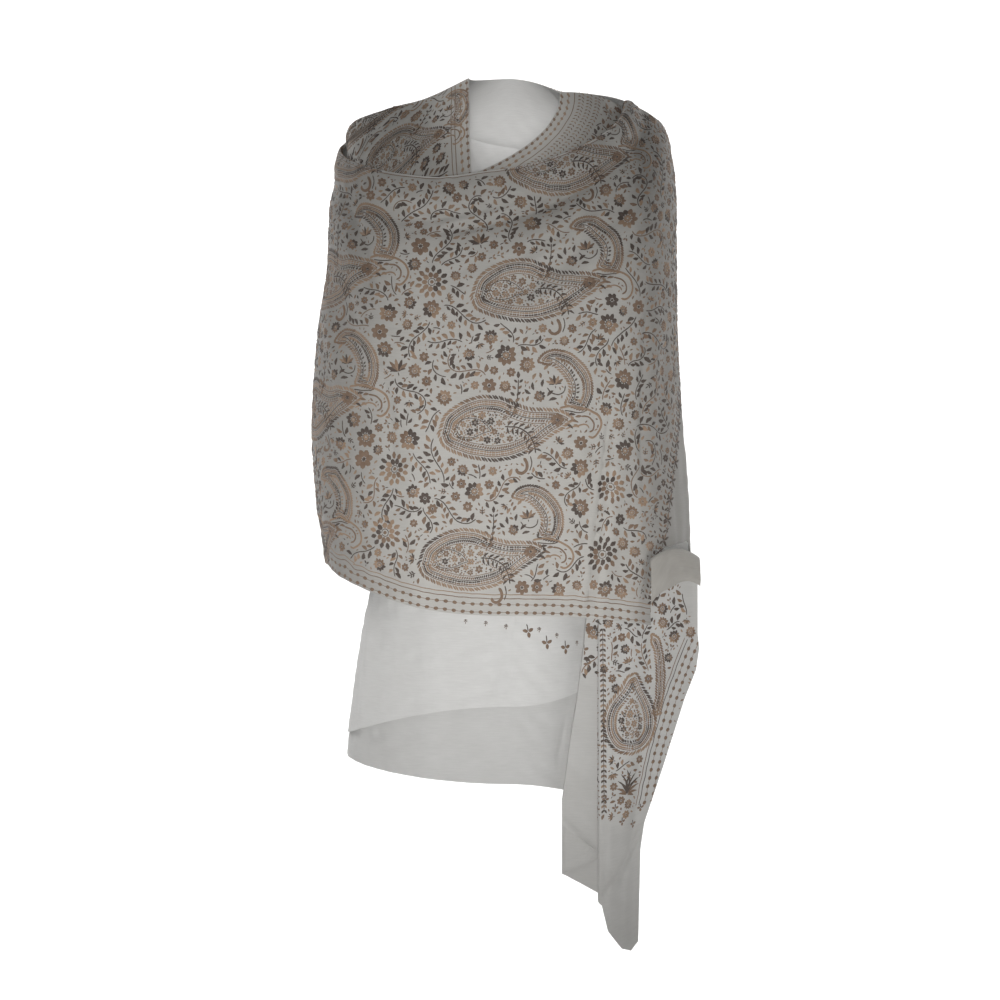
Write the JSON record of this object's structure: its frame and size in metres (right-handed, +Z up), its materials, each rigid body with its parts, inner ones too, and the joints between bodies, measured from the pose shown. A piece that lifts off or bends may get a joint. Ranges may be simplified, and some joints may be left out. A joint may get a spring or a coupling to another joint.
{
  "type": "draped shawl",
  "caption": "Embroidered wool stole worn as a shawl: paisley front gathered at the shoulder, plain back and under-plies, turned wrist cuff and long hanging end.",
  "frame": {"origin": "midway between the wearer's two shoulders, at the height where the cloth rests on them", "axes": "+Z up; the wearer faces -Y; +X is the wearer's left side"},
  "size_m": [0.5066, 0.3049, 1.1481],
  "materials": {
    "embroidered_wool": "fine off-white wool covered with raised taupe and tan thread embroidery",
    "plain_wool": "fine off-white wool, soft twill with a slight sheen"
  },
  "bodies": {
    "root": {"front_panel": "embroidered_wool", "left_arm_side": "embroidered_wool", "left_shoulder_flap": "embroidered_wool", "right_shoulder_fall": "embroidered_wool", "back_panel": "plain_wool", "neck_ply": "plain_wool", "under_upper": "plain_wool", "under_lower": "plain_wool", "wrist_cuff": "plain_wool", "hanging_end": "embroidered_wool", "hanging_pleats": "plain_wool"}
  },
  "joints": []
}
